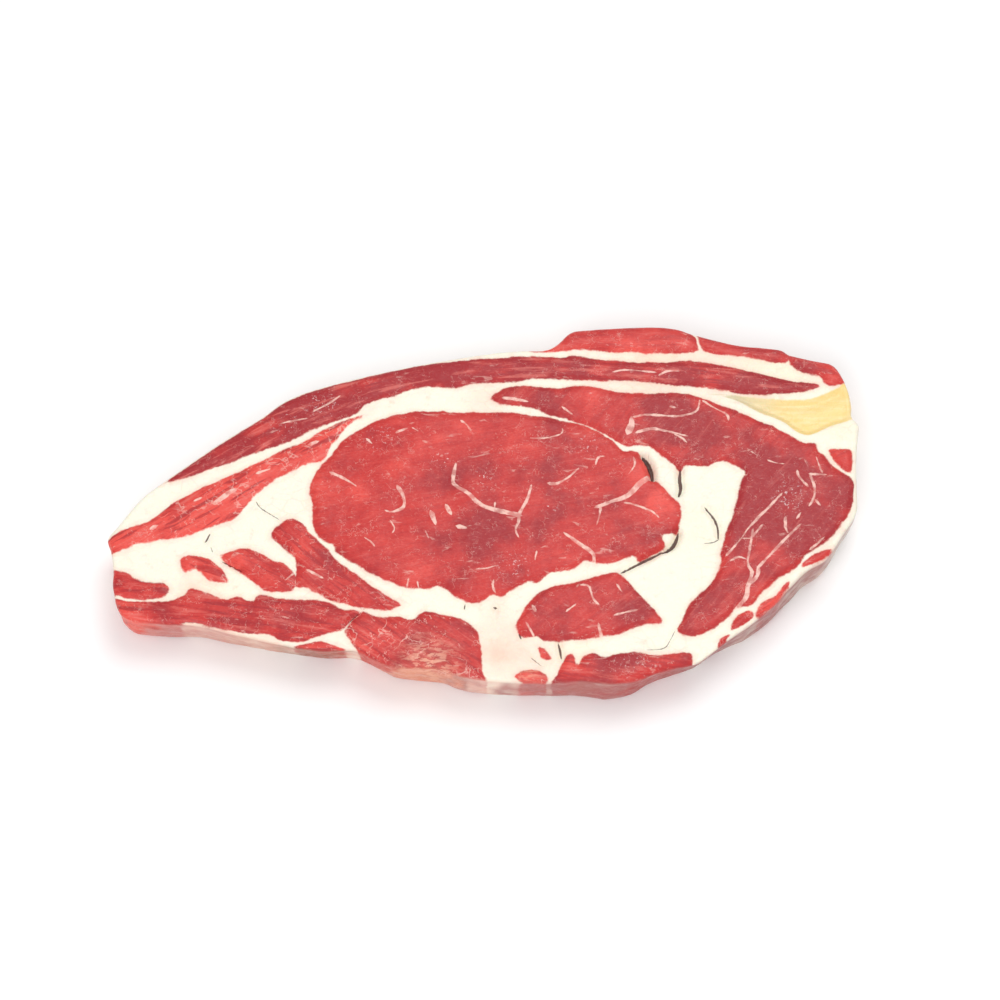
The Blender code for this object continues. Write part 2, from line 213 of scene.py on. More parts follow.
# %% The muscles
MUSCLES = {
    "eye": (0, 0.5, [
        (-59.2, 5), (-57.5, 11), (-53, 17), (-49, 23), (-43, 28), (-36, 31.6), (-28, 34.2), (-16, 35.2),
        (-8, 34.5), (5, 34.8), (15, 33.9), (24, 32.2), (32, 30.4), (38, 27.8), (44, 23.8), (48, 19.6),
        (50.5, 20), (53, 19), (55, 17), (56.8, 14), (57.6, 11.2), (57.4, 9.2), (59.5, 7.9), (63, 3.5),
        (66.2, 0), (67.3, -4.5), (66.5, -10), (65.4, -11.6), (60.7, -12.5), (61.5, -16.5), (59.5, -18),
        (53, -22), (50.5, -20), (43, -22.7), (39, -23), (34, -22), (30, -25), (23, -26.6), (18.5, -29.7),
        (15, -29.3), (9, -33.3), (6.5, -35), (3, -34.4), (-1.5, -37.3), (-8, -35.8), (-14.5, -31),
        (-19, -32), (-26, -31.8), (-35, -27.7), (-44, -22.5), (-49.5, -18.6), (-50.7, -16.1),
        (-54.5, -14.2), (-57.7, -8.5), (-58, -2)]),
    "cap": (1, 0.38, [
        (2.8, 40.7), (7, 44), (16, 45), (26, 44.2), (35, 45.2), (43, 43.5), (52, 42.2), (63, 42.4),
        (71, 41.9), (80, 38.3), (88, 35), (96, 30.9), (104, 26.8), (110, 22.8), (114, 22.8), (115, 19.3),
        (117, 18), (119, 14.5), (122, 12), (126.6, 8), (126.3, 3), (124.5, -3.5), (121, -9), (116, -15),
        (110, -18.8), (105, -24.3), (99, -28.5), (93.5, -33.8), (89.5, -38.4), (84.5, -39.8),
        (80.5, -43.7), (74, -48.3), (70, -49.2), (66.5, -48.9), (64.3, -47), (66, -44), (68.3, -39),
        (72, -34.4), (76.5, -29.8), (80, -22.4), (80.2, -18), (82.5, -10.5), (85.5, -2.5), (87.8, 8),
        (89.3, 11), (87, 13.3), (82.3, 15.7), (76, 13.8), (69.5, 14.2), (68, 12.9), (66, 13.5),
        (60.5, 18.3), (55, 21.8), (49.5, 21.3), (44.5, 24.3), (37, 28.8), (29, 31.6), (20.5, 34.9),
        (13, 37.1), (5.5, 37.8), (3.5, 39.1)]),
    "upper strip": (2, 0.22, [
        (-109.5, 7.6), (-100, 15.2), (-90, 23), (-77, 32.3), (-67, 40), (-50, 46.4), (-25, 53),
        (-15, 54.4),
        (0, 55.7), (15, 56.8), (25, 56.3), (32, 57), (42, 55.3), (60, 54.2), (70, 54.9), (80, 53.9),
        (95, 50.2), (105, 47.4), (116.3, 45.3), (112, 43), (104, 41.8), (90, 41.6), (83, 43.3), (70, 44.8),
        (57.5, 46.5), (50, 47.3), (36, 47.2), (20, 47.7), (10, 46.7), (-5, 45.8), (-10, 44.4),
        (-20, 44.6), (-30, 41.7), (-41, 37.5), (-44, 34.2), (-50, 31.7), (-58, 27.9), (-70, 22),
        (-80, 17.9), (-90, 13.7), (-97.5, 10.9), (-106, 8.2)]),
    "lower strip": (1, 0.95, [
        (-127.5, -15), (-122, -10.3), (-113, -6.6), (-106.5, -1), (-100, 3.2), (-90, 8.5), (-80, 13.6),
        (-70, 19.4), (-61, 23.6), (-56.5, 27), (-50, 30.7), (-42, 33.5), (-46.5, 29.8), (-49, 26.3),
        (-52.5, 21), (-55, 16.3), (-60, 14.7), (-66, 11.7), (-72, 8.3), (-77, 3.6), (-79.5, -0.2),
        (-84.5, -5.9), (-90, -8.1), (-99, -12), (-109, -14), (-117, -15.8), (-125.5, -18.9)]),
    "lower muscle": (2, 0.5, [
        (11, -45), (13.5, -40), (17, -34.9), (21.5, -32), (29, -30.2), (37, -28), (44, -26),
        (46.7, -27.4), (49.5, -30.4), (54, -36), (59.7, -43.8), (54, -45.4), (49.5, -46.6), (43, -49),
        (33, -50.5), (22, -51.4), (17.5, -49.8), (13, -49.6)]),
    "rib right": (0, 0.3, [
        (22, -70), (24.5, -63), (27, -57.5), (29.5, -55.5), (31.2, -60), (33, -57), (36.5, -55.5),
        (41, -56.7), (49, -55), (58, -56.2), (68.5, -55.2), (69.4, -57.5), (69, -63), (60, -75),
        (30, -75)]),
    "rib right patch": (2, 0.8, [
        (10.5, -64), (13, -62), (17, -61.5), (21.5, -63.6), (20, -67), (14, -67)]),
    "rib crumb": (1, 0.7, [(18, -53.2), (20.5, -54), (22.5, -57.5), (20, -57.8), (18.7, -56)]),
    "rim a": (2, 0.6, [(82, -47.5), (84, -43), (88.5, -40), (90.3, -41.5), (88, -44.5), (85, -46.5)]),
    "rim b": (0, 0.6, [
        (91, -41.5), (93, -37.5), (98, -34.5), (101.5, -30), (103.3, -30.4), (99, -36.5), (93, -42.5)]),
    "rim c": (0, 0.7, [
        (107, -24), (109.5, -20.5), (115, -18), (118, -17.5), (116.5, -20), (112, -22.8)]),
    "rim d": (1, 0.6, [(78, -53.6), (79, -50.3), (82.5, -48.5), (81.5, -50.5), (80, -53.6)]),
    "right crumb": (2, 0.6, [
        (118.5, 19.8), (121, 20.5), (125.7, 20.3), (126.5, 17), (126.3, 13.5), (125, 11.5), (122, 13.5)]),
    "tail muscle": (1, 0.6, [
        (-71.7, -12), (-69.5, -8.4), (-65, -6.1), (-61, -8), (-58.3, -12), (-53.5, -16.3), (-50, -21),
        (-42, -27.4), (-35, -32.8), (-28, -37), (-27.5, -38.6), (-33, -39.8), (-43, -38.4),
        (-52, -35.7), (-59, -32), (-63, -31), (-63, -23), (-65, -19.4), (-69, -15.8)]),
    "tail lobe": (2, 0.7, [
        (-89, -20), (-85.5, -18.6), (-80.5, -17.3), (-75, -19), (-70, -22), (-67.5, -22.6), (-63, -27),
        (-63, -31), (-65, -33), (-69, -33.3), (-74.5, -32), (-82, -25.7), (-87.5, -21.8)]),
    "tail islet": (1, 0.8, [
        (-102, -21.5), (-99, -19.8), (-93, -20.8), (-89.5, -23.5), (-86, -28), (-85.5, -30.2),
        (-92, -29), (-96.5, -25), (-100.5, -26)]),
    "flap block": (2, 0.5, [
        (-128, -25.6), (-120, -26.2), (-115.5, -29.3), (-107, -30.3), (-105.4, -34), (-110, -36),
        (-118, -36.2), (-121, -34.9), (-128, -33.5)]),
    "flap": (0, 0.45, [
        (-129, -35.5), (-120, -36.6), (-107, -36.6), (-100.5, -34.8), (-98, -32), (-92, -34.1),
        (-86, -36), (-82, -35), (-77, -37), (-75, -34.6), (-66, -35.8), (-54, -36.5), (-47, -39.5),
        (-41, -40.3), (-44, -43.5), (-46, -46.6), (-54, -49.3), (-60, -51.4), (-66, -51.3),
        (-69, -49.6), (-72, -48.8), (-78, -48.8), (-84, -47.8), (-90, -46.5), (-100, -45), (-110, -52),
        (-129, -50)]),
    "rib middle": (1, 0.5, [
        (-41, -40.5), (-35, -42.3), (-28, -42.3), (-23.5, -43), (-19, -40.3), (-13, -42), (-7.5, -42.8),
        (-2.5, -47), (-1, -51.5), (0, -62), (0, -72), (-42, -64), (-41.5, -56), (-45, -49.7),
        (-46, -46.9)]),
    "lens": (2, 0.55, [
        (-65, -54.8), (-58, -52), (-54, -51.3), (-50, -52.4), (-44, -55.9), (-48, -57.6), (-54, -57)]),
    "top left": (0, 0.6, [
        (15, 59.2), (22, 59.8), (27, 63.7), (31, 69), (60, 72), (72.5, 67), (74.8, 61.5), (73.5, 58.4),
        (60, 57.9), (41, 58.9), (34, 59.8), (25, 58.5)]),
    "top middle": (1, 0.5, [
        (75.2, 68), (90, 64), (105.3, 61), (106.4, 55.5), (103.5, 54), (94, 56), (80, 58.1), (76.3, 60)]),
    "top right": (2, 0.5, [
        (107.4, 59), (118, 57), (126.5, 50), (126, 46.7), (121, 45), (118.3, 46.5), (117, 48.6),
        (110.5, 50.7), (107, 53.5)]),
}
BANDS = 3

# Share of marbling, direction of the fibres in degrees, and how streaky the cut is
CUT_LOOK = {
    "eye": (0.40, 12, 0.25), "cap": (0.40, 50, 0.35), "upper strip": (0.35, 0, 1.0),
    "lower strip": (0.80, 33, 0.8), "lower muscle": (0.40, 40, 0.3), "rib right": (0.6, -10, 0.6),
    "flap": (0.55, -8, 0.9), "flap block": (0.5, -5, 0.9), "tail muscle": (0.7, -40, 0.7),
    "tail lobe": (0.7, -30, 0.6), "tail islet": (0.8, -20, 0.6), "rib middle": (1.0, -35, 0.7),
    "lens": (0.9, 5, 0.9), "top left": (0.35, 0, 0.4), "top middle": (0.4, -10, 0.5),
    "top right": (0.6, -20, 0.5), "rib right patch": (1.0, 0, 0.5),
}
PLAIN_LOOK = (0.6, 30, 0.4)
STRIP_MIDDLE = [
    (-108, 8), (-90, 18.5), (-70, 31), (-50, 39.5), (-20, 49), (10, 51.5), (50, 51), (80, 48.5), (116, 45),
]

lean_depth = np.full((len(xy), BANDS), -DEPTH_REACH)
redness = np.full(len(xy), 0.5)
deepest = np.full(len(xy), -DEPTH_REACH)
marbling = np.full(len(xy), 0.5)
fibre_turn = np.zeros(len(xy))
streaky = np.zeros(len(xy))
in_strip = np.zeros(len(xy), bool)
for name, (band, tone, line) in MUSCLES.items():
    depth = depth_in(line, xy)
    lean_depth[:, band] = np.maximum(lean_depth[:, band], depth)
    here = depth > deepest
    share, turn, streak = CUT_LOOK.get(name, PLAIN_LOOK)
    redness[here], marbling[here], streaky[here] = tone, share, streak
    fibre_turn[here] = math.radians(turn)
    in_strip[here] = name == "upper strip"
    deepest = np.maximum(deepest, depth)

# Places measured along and across the fibres, in metres, following the back strip's curve
strip_line = smooth_curve(STRIP_MIDDLE, 1.0)
_, strip_across, strip_along, _, _ = follow(strip_line, xy, False, 30.0)
fibre_along = xy[:, 0] * np.cos(fibre_turn) + xy[:, 1] * np.sin(fibre_turn)
fibre_across = xy[:, 1] * np.cos(fibre_turn) - xy[:, 0] * np.sin(fibre_turn)
fibre_along = np.where(in_strip, strip_along * len(strip_line), fibre_along) * MM
fibre_across = np.where(in_strip, strip_across, fibre_across) * MM
print(len(MUSCLES), "muscles cover", round(float((deepest > 0).mean()) * 100), "% of the skin")

# %% [markdown]
# Fat also runs through the muscles as thin white veins, which is the marbling. A vein is an open
# line with a width at each end. For each place the skin keeps two numbers: how far it lies to the
# side of the vein, and how wide the vein is there. Both change evenly over the skin, so a vein half
# a millimetre wide stays sharp on quads of nearly a millimetre. Veins that meet go into
# different bands, or their numbers would mix.

# %% The veins of fat
VEINS = [
    (1.0, 1.7, [(-9.5, 14.5), (-10.3, 9), (-9.8, 6.5), (-5, 3), (-1, -1), (4, -3), (12, -5)]),
    (1.3, 0.7, [(12, -5), (14, -1), (15.2, 1.5), (16.3, 6)]),
    (0.9, 0.5, [(12, -5), (12, -7.5), (10.9, -10.5), (11.8, -13)]),
    (0.5, 0.3, [(4, -0.3), (3.8, -2.5)]),
    (1.0, 0.5, [(22.5, 7), (25, 6.9), (28.5, 9), (32.5, 12.8)]),
    (2.2, 1.0, [(58.5, 10.2), (54, 7.5), (49.5, 2.5), (43.5, 0), (38.5, -2)]),
    (0.9, 0.4, [(39.8, -2.5), (39.3, -5.5), (38.5, -8.3)]),
    (0.6, 0.4, [(48, -0.5), (51, -1), (57, -3.5), (59.5, -5.8)]),
    (0.9, 1.3, [(27.5, -11.7), (32, -15.5), (37, -19.5), (37.2, -23)]),
    (0.7, 0.3, [(18, -18.7), (17.5, -21.5)]),
    (1.3, 0.7, [(-29, 5.5), (-27, 1.5), (-27.2, -2), (-31, -3.8), (-33, -3.3)]),
    (0.9, 0.6, [(-52, 11), (-47, 8.5), (-43.5, 6)]),
    (1.9, 1.2, [(-17.5, -4.5), (-16.3, -8)]), (1.4, 0.9, [(-12.5, -1.7), (-11, -4.5)]),
    (1.4, 0.8, [(-8.5, -9.2), (-6, -9.8)]), (0.7, 0.5, [(-7.5, 31), (-5.7, 29.5), (-4.7, 27.8)]),
    (0.8, 0.5, [(-30, 26.5), (-26.5, 28)]), (0.7, 0.4, [(-24.5, 28.3), (-22.5, 27)]),
    (0.6, 0.4, [(16.5, 24.3), (21, 24.3), (26.8, 26), (27.2, 28)]),
    (0.7, 0.4, [(51.5, 16.5), (51.8, 14), (49.5, 10.2)]),
    (0.7, 0.4, [(38.5, 14.5), (39.3, 17), (41.5, 17.3)]), (0.8, 0.4, [(-40, 24), (-38.5, 22.5)]),
    (0.8, 0.4, [(-2, -25.2), (1.5, -24.8), (4, -24)]),
    (0.6, 0.4, [(3.5, -29.5), (3.2, -31.5), (4, -33.5)]),
    (0.6, 0.4, [(-22, -30), (-21.5, -32)]), (0.6, 0.4, [(-25, -29), (-25.5, -31.5)]),
    (0.8, 0.5, [(-40, -13.5), (-38, -15), (-36.8, -16.5)]), (0.7, 0.4, [(-19.5, -11), (-18.5, -13.5)]),
    (0.7, 0.4, [(-31.5, -7), (-30, -10), (-31, -12)]),
    (3.0, 1.4, [(50, 27), (51, 29.5), (51, 32)]),
    (0.9, 0.6, [(51.5, 32.5), (57, 33.5), (67, 33), (73.5, 35), (74.8, 39)]),
    (1.0, 0.7, [(52.5, 26.5), (58, 28), (63.5, 27), (70, 25.3)]),
    (0.8, 0.5, [(66, 25.8), (68.5, 24.3), (70, 22.5)]),
    (1.3, 0.9, [(7, 40), (11, 39.5), (15, 38.7)]), (1.0, 0.6, [(27.5, 36.3), (30.5, 33.8)]),
    (0.8, 0.5, [(64.5, 36.8), (66.5, 36.3)]), (0.7, 0.5, [(76, 39), (80, 36), (84, 33.5), (84.5, 31.5)]),
    (0.8, 0.6, [(107.3, 11.5), (107.8, 9.5), (110.5, 6)]),
    (0.9, 0.6, [(111.7, 10), (113, 5), (112.2, 1), (110.8, -1.5)]),
    (0.7, 0.4, [(113, 0.5), (114.3, -1.2)]),
    (0.8, 0.6, [(111.5, 10.5), (114, 10.3), (117, 10.3)]), (0.6, 0.4, [(115.8, 11), (115, 13)]),
    (0.5, 0.3, [(110, 16), (111, 13.5)]), (0.5, 0.3, [(114, 17), (115.5, 12)]),
    (0.6, 0.4, [(97.5, 15.8), (100, 14.8), (103, 14.5)]), (0.6, 0.3, [(92, 19), (94, 17.5)]),
    (1.6, 1.1, [(84, -40.5), (86.5, -37.5), (88.3, -35), (88.9, -31), (92, -28), (92.5, -24.5)]),
    (1.1, 0.7, [(92.5, -24.5), (97, -19.5), (102.5, -13.5), (107.5, -8.5)]),
    (1.1, 0.8, [(88.8, -31), (90.3, -26.5), (89, -23), (90, -17), (91.3, -10.3)]),
    (0.8, 0.5, [(91, -13), (94.5, -8.8)]),
    (0.8, 0.6, [(82, -20), (87, -14), (90.5, -9), (97.5, -1.5), (101.5, 3)]),
    (0.7, 0.5, [(87.3, -13.8), (90.5, -13.8)]), (0.6, 0.5, [(83.5, -22), (86, -20.7), (89, -21.8)]),
    (0.8, 0.5, [(102.5, -6), (102.3, -9.5), (103, -11.5)]), (0.7, 0.4, [(106.5, -6), (107.8, -4)]),
    (0.9, 0.5, [(110.5, -17.5), (113, -15.5), (115.5, -13)]),
    (0.8, 0.6, [(33, -31), (35.5, -31.5), (36.8, -36), (38.5, -38)]), (0.8, 0.4, [(28, -40.5), (31, -38)]),
    (0.9, 0.6, [(44, -42), (48, -40.8), (51.5, -40)]), (0.9, 1.3, [(38.5, -45.3), (39.3, -49.5)]),
    (0.9, 0.7, [(14.5, -45), (17, -49.5)]), (1.1, 0.6, [(16.8, -39), (17.5, -40.5)]),
    (0.9, 0.5, [(45, -31), (46.5, -33.5)]), (0.9, 0.6, [(-59, -25.5), (-54, -28.3)]),
    (0.9, 0.7, [(-65, -22.5), (-63, -25), (-64, -27), (-66, -29)]),
    (2.0, 1.2, [(-91, -0.5), (-87, 3), (-84.5, 4.5)]),
    (1.7, 0.9, [(-112, -9.8), (-110.5, -9)]), (0.9, 0.6, [(-98, 0.5), (-96, 1.5)]),
    (1.1, 0.7, [(-77, 11), (-73, 12.5)]), (1.1, 0.7, [(-59.5, 22), (-57, 23)]),
    (0.8, 0.5, [(-70, 30), (-66, 31), (-61, 32)]), (0.8, 0.5, [(-58.5, 35), (-54, 37.5), (-50, 40.5)]),
    (0.7, 0.5, [(45, 50.3), (50, 51), (60, 50)]), (0.6, 0.5, [(61, 49), (64, 50.5), (68, 50.5)]),
]
VEIN_BANDS = 6
APART = 4.0
SIDE_REACH = 3.0
FLAT_REACH = 1.6
END_TAPER = 0.7
SIDE_TAPER = 2.0


def note_line(sides, widths, nearest, band, away, side, past, wide):
    """Where a line is the nearest of its band, keep its side and its tapered half width."""
    wide = wide - past * END_TAPER - np.maximum(away - FLAT_REACH, 0.0) * SIDE_TAPER
    closer = away < nearest[:, band]
    nearest[closer, band] = away[closer]
    sides[closer, band] = np.clip(side, -SIDE_REACH, SIDE_REACH)[closer]
    widths[closer, band] = np.maximum(wide, -SIDE_REACH)[closer]


vein_lines = [smooth_curve(line, 0.8) for _, _, line in VEINS]
vein_band = []
for i, line in enumerate(vein_lines):
    taken = set()
    for j in range(i):
        gap = np.linalg.norm(line[:, None] - vein_lines[j][None], axis=2).min()
        if gap < APART:
            taken.add(vein_band[j])
    free = [b for b in range(VEIN_BANDS) if b not in taken]
    vein_band.append(free[0] if free else VEIN_BANDS - 1)

vein_side = np.full((len(xy), VEIN_BANDS), SIDE_REACH)
vein_width = np.full((len(xy), VEIN_BANDS), -SIDE_REACH)
vein_nearest = np.full((len(xy), VEIN_BANDS), 1e3)
for (first, last, _), line, band in zip(VEINS, vein_lines, vein_band):
    away, side, share, past, _ = follow(line, xy, False, 3.5)
    wide = (first + (last - first) * share) / 2.0
    note_line(vein_side, vein_width, vein_nearest, band, away, side, past, wide)
print(len(VEINS), "veins in", len(set(vein_band)), "bands")

# %% [markdown]
# Where the slice bends, the muscles part along their seams, and dark splits open. The pale yellow
# ligament at the right end is firmer than the meat and lies a little below it in its own hollow.
# Both are cut into the form itself, since a split that was only painted would look flat from the
# side. The dark inside each split is painted shade as well.

# %% Splits and the ligament
# Each split: the half width of its painted shade line, the depth of its cut, and its points
SPLITS = [
    (0.85, 4.2, [(54.8, 18.2), (56.5, 15.5), (57.6, 12.0), (57.9, 9.5)]),
    (0.6, 3.4, [(67.5, 13.2), (67.2, 9.5), (67.5, 6.5), (66.7, 3.5)]),
    (0.38, 2.0, [(75.5, -1.5), (78.3, -5.5), (79.5, -9.0), (79.6, -13.0)]),
    (0.62, 4.0, [(66.1, -10.8), (65.2, -13.6), (63.9, -15.8), (61.5, -17.6)]),
    (0.45, 2.0, [(61.5, -17.6), (56.5, -20.3), (51.0, -23.2), (46.6, -25.6)]),
    (0.35, 2.0, [(25.0, -51.5), (25.6, -54.0), (26.0, -57.0)]),
    (0.10, 1.8, [(-88.0, -21.6), (-84.5, -23.7), (-81.3, -25.4)]),
    (0.32, 1.2, [(-92.7, -11.5), (-94, -14.5)]), (0.22, 1.0, [(-6, -37.5), (-6.3, -39.5)]),
    (0.09, 0.8, [(54, -54), (60, -53.5), (62, -51), (64, -47)]), (0.10, 0.8, [(16, -57), (19.5, -60)]),
    (0.13, 1.2, [(-41.5, -41), (-45, -44.5)]), (0.5, 1.4, [(3.8, -38.7), (4.3, -38.8)]),
    (0.12, 0.6, [(-77.3, 0.5), (-75.5, -2), (-69.5, -6)]), (0.25, 1.0, [(12, -48.5), (12.7, -50)]),
    (0.14, 0.6, [(79.6, -13.2), (78, -14.6), (74.5, -15)]), (0.12, 0.5, [(-92, -16.5), (-91.3, -18.5)]),
]
LIGAMENT = [
    (77.0, 42.2), (86.0, 41.8), (96.0, 40.6), (106.0, 39.9), (114.0, 40.6), (122.0, 44.0),
    (126.5, 46.4), (129.5, 40.0), (128.5, 33.0), (120.0, 29.4), (112.5, 26.0), (108.0, 27.2),
    (103.0, 31.3), (95.0, 35.0), (88.0, 39.2), (82.0, 41.2),
]
LIGAMENT_DEPTH = 2.0
LIGAMENT_CROWN = 1.0

CUT_SPREAD = 0.55
SPLIT_BANDS = 3
split_side = np.full((len(xy), SPLIT_BANDS), SIDE_REACH)
split_width = np.full((len(xy), SPLIT_BANDS), -SIDE_REACH)
split_nearest = np.full((len(xy), SPLIT_BANDS), 1e3)
split_cut = np.zeros(len(xy))
for i, (half_width, cut, line) in enumerate(SPLITS):
    away, side, share, past, _ = follow(smooth_curve(line, 0.8), xy, False, 5.0)
    wide = half_width * (0.55 + 0.45 * np.sin(math.pi * np.clip(share, 0.02, 0.98)))
    split_cut = np.maximum(split_cut, cut * np.exp(-(away / (wide + CUT_SPREAD)) ** 2))
    note_line(split_side, split_width, split_nearest, i % SPLIT_BANDS, away, side, past, wide)
ligament = depth_in(LIGAMENT, xy)
print("deepest split:", round(float(split_cut.max()), 1), "mm")

# %% [markdown]
# Now the skin takes its form. Its two edges turn into quarter rounds, the wall leans in towards its
# foot and swells a little, and the cut face gets its relief: muscles stand slightly proud, seams
# sink, and thin veins leave faint ridges. The same moves are made from named sizes for the whole
# skin at once with array maths, which is much quicker than a modifier for each.

# %% Shape the skin
TOP_ROUND = 1.9
UNDERSIDE_ROUND = 3.6
LEAN_REACH = 24.0
WALL_BULGE = 0.8
BACK_LEAN = 1.5
FRONT_LEAN = [
    (-125.0, 2.0), (-95.0, 2.6), (-66.0, 4.5), (-54.0, 5.0), (-42.0, 4.5), (-22.0, 2.3),
    (-10.0, 1.5), (20.0, 2.0), (40.0, 0.4), (56.0, 3.5), (70.0, 6.0), (78.0, 5.0),
    (88.0, 1.9), (104.0, 0.4), (128.0, 2.0),
]
MUSCLE_RISE = 0.6
SEAM_SINK = 0.35
VEIN_RIDGE = 0.10
FIT_INSIDE = 0.9995
TOP_GAP = 0.03
SQUEEZE_FROM = 17.0


def uneven(places, size, seed=0.0):
    """A slow unevenness between about -1 and 1, with lumps of the given size."""
    return np.array([noise.noise(Vector(p) / size + Vector((seed, seed, seed))) for p in places])


rest = np.column_stack([xy, z])
edge_away, _, _, _, outward = follow(rim, xy, True)
edge_away[~inside(rim, xy)] = 0.0
on_top = z > THICKNESS - 0.4 * SKIN_QUAD
on_foot = z < 0.4 * SKIN_QUAD
wall = ~on_top & ~on_foot

inward = np.zeros(len(z))
lift = z.copy()
for top, radius in ((True, TOP_ROUND), (False, UNDERSIDE_ROUND)):
    face = on_top if top else on_foot
    run = np.where(face, radius - edge_away, radius + (THICKNESS - z if top else z))
    turn = np.clip(run / (2.0 * radius), 0.0, 1.0) * math.pi / 2.0
    rounded = (run > 0.0) & (run < 2.0 * radius)
    inward = np.where(rounded, radius - radius * np.sin(turn) - edge_away, inward)
    drop = radius - radius * np.cos(turn)
    lift = np.where(rounded, THICKNESS - drop if top else drop, lift)

facing_front = np.clip(-outward[:, 1] * 2.0 + 0.5, 0.0, 1.0)
lean_x, lean_by = np.array(FRONT_LEAN).T
wall_lean = BACK_LEAN + (np.interp(xy[:, 0], lean_x, lean_by) - BACK_LEAN) * facing_front
down = np.clip(1.0 - lift / THICKNESS, 0.0, 1.0)
inward += wall_lean * down * np.clip(1.0 - edge_away / LEAN_REACH, 0.0, 1.0) ** 2
inward -= WALL_BULGE * np.sin(math.pi * down) * down * wall
slow = uneven(rest, 14.0)
mid = uneven(rest, 5.0, 7.0)
fine = uneven(rest, 2.0, 3.0)
middle_share = np.sin(math.pi * down) * wall
inward += (0.6 * slow + 0.45 * mid + 0.18 * fine) * middle_share

fat_relief = 0.22 * mid + 0.10 * fine
lean_relief = 0.08 * mid + 0.05 * fine
relief = -SEAM_SINK + (MUSCLE_RISE + SEAM_SINK) * step_between(-0.8, 2.2, deepest)
relief = relief + np.where(deepest > 0, lean_relief, fat_relief) + 0.35 * slow
vein_here = (vein_width - np.abs(vein_side)).max(axis=1)
relief = relief + VEIN_RIDGE * step_between(-0.5, 0.4, vein_here) * (deepest > 0)
bowl = step_between(-0.4, 2.2, ligament)
crown = np.sin(np.clip((ligament - 2.0) / 5.0, 0.0, 1.0) * math.pi / 2.0)
relief = relief * (1.0 - bowl) - LIGAMENT_DEPTH * bowl + LIGAMENT_CROWN * crown
relief = relief - split_cut
top_share = np.clip((lift / THICKNESS - 0.55) / 0.4, 0.0, 1.0)
edge_share = np.where(on_top, np.clip(edge_away / 3.0, 0.35, 1.0), 0.35)
lift = lift + relief * top_share * edge_share
moved = xy - outward * inward[:, None]

# Hold the skin inside the construction model's box
box_low, box_high = np.array(cad_box) / MM
own_low, own_high = moved.min(axis=0), moved.max(axis=0)
fit = np.minimum((box_high - box_low)[:2] / (own_high - own_low), 1.0) * FIT_INSIDE
moved = (moved - (own_low + own_high) / 2.0) * fit + (box_low + box_high)[:2] / 2.0
lift = np.clip(lift, 0.0, None)
headroom = box_high[2] - TOP_GAP - SQUEEZE_FROM
squeeze = min(1.0, headroom / (lift.max() - SQUEEZE_FROM))
lift = np.where(lift > SQUEEZE_FROM, SQUEEZE_FROM + (lift - SQUEEZE_FROM) * squeeze, lift)
skin_mesh.vertices.foreach_set("co", (np.column_stack([moved, lift]) * MM).ravel())
skin_mesh.update()
print("slice, mm:", np.round(own_high - own_low, 1), "high", round(float(lift.max()), 2))

# %% [markdown]
# The shader can't follow the muscle lines by itself, so the skin carries what was measured as
# attributes: the depth in each band of muscles, the side and width of the veins, the splits, the
# ligament, and how red or fatty each place is. They are stored on the mesh's points.

# %% Keep the measurements on the mesh
# Wall colours along the slice: partly the thin film's own colour and partly painted shade, darker along the
# front wall and below the flap
FILM_AND_SHADE_STRETCHES = [
    (-126.0, (0.80, 0.16, 0.09), 0.25), (-112.0, (0.78, 0.15, 0.09), 0.3),
    (-106.0, (0.60, 0.24, 0.21), 0.85), (-88.0, (0.56, 0.24, 0.21), 0.9),
    (-80.0, (0.60, 0.28, 0.22), 0.9), (-66.0, (0.56, 0.24, 0.18), 0.9),
    (-60.0, (0.33, 0.13, 0.08), 0.85), (-44.0, (0.36, 0.13, 0.08), 0.85),
    (-40.0, (0.55, 0.08, 0.05), 0.5), (-29.0, (0.62, 0.14, 0.08), 0.4),
    (-26.0, (0.80, 0.36, 0.22), 0.7), (-10.0, (0.76, 0.34, 0.22), 0.7),
    (-5.0, (0.50, 0.25, 0.20), 0.8), (1.0, (0.78, 0.55, 0.46), 0.8),
    (8.0, (0.78, 0.52, 0.42), 0.8), (12.0, (0.42, 0.13, 0.12), 0.85),
    (29.0, (0.40, 0.13, 0.12), 0.9), (33.0, (0.42, 0.14, 0.12), 0.92),
    (50.0, (0.40, 0.12, 0.11), 0.92), (53.0, (0.42, 0.08, 0.07), 0.8),
    (70.0, (0.34, 0.09, 0.08), 0.85), (77.0, (0.34, 0.10, 0.10), 0.95),
    (84.0, (0.33, 0.10, 0.10), 0.95), (114.0, (0.36, 0.14, 0.13), 0.95),
    (127.0, (0.56, 0.42, 0.38), 0.9),
]
BACK_FILM = (0.80, 0.60, 0.48)
BACK_FILM_COVER = 0.75


def near(x, y, radius):
    """One at the given spot, fading to nothing at the radius."""
    away = np.hypot(xy[:, 0] - x, xy[:, 1] - y)
    return 1.0 - step_between(0.0, 1.0, away / radius)


def spots(given):
    """The sum of soft round spots, each a strength, x, y and radius."""
    return sum(strength * near(x, y, radius) for strength, x, y, radius in given)


def keep(name, values):
    """Store one, three or four numbers for each point of the skin."""
    values = np.asarray(values, float)
    kind = "FLOAT" if values.ndim == 1 else ("FLOAT_VECTOR" if values.shape[1] == 3 else "FLOAT_COLOR")
    attribute = skin_mesh.attributes.new(name, kind, "POINT")
    attribute.data.foreach_set({"FLOAT": "value", "FLOAT_VECTOR": "vector",
                                "FLOAT_COLOR": "color"}[kind], values.ravel())


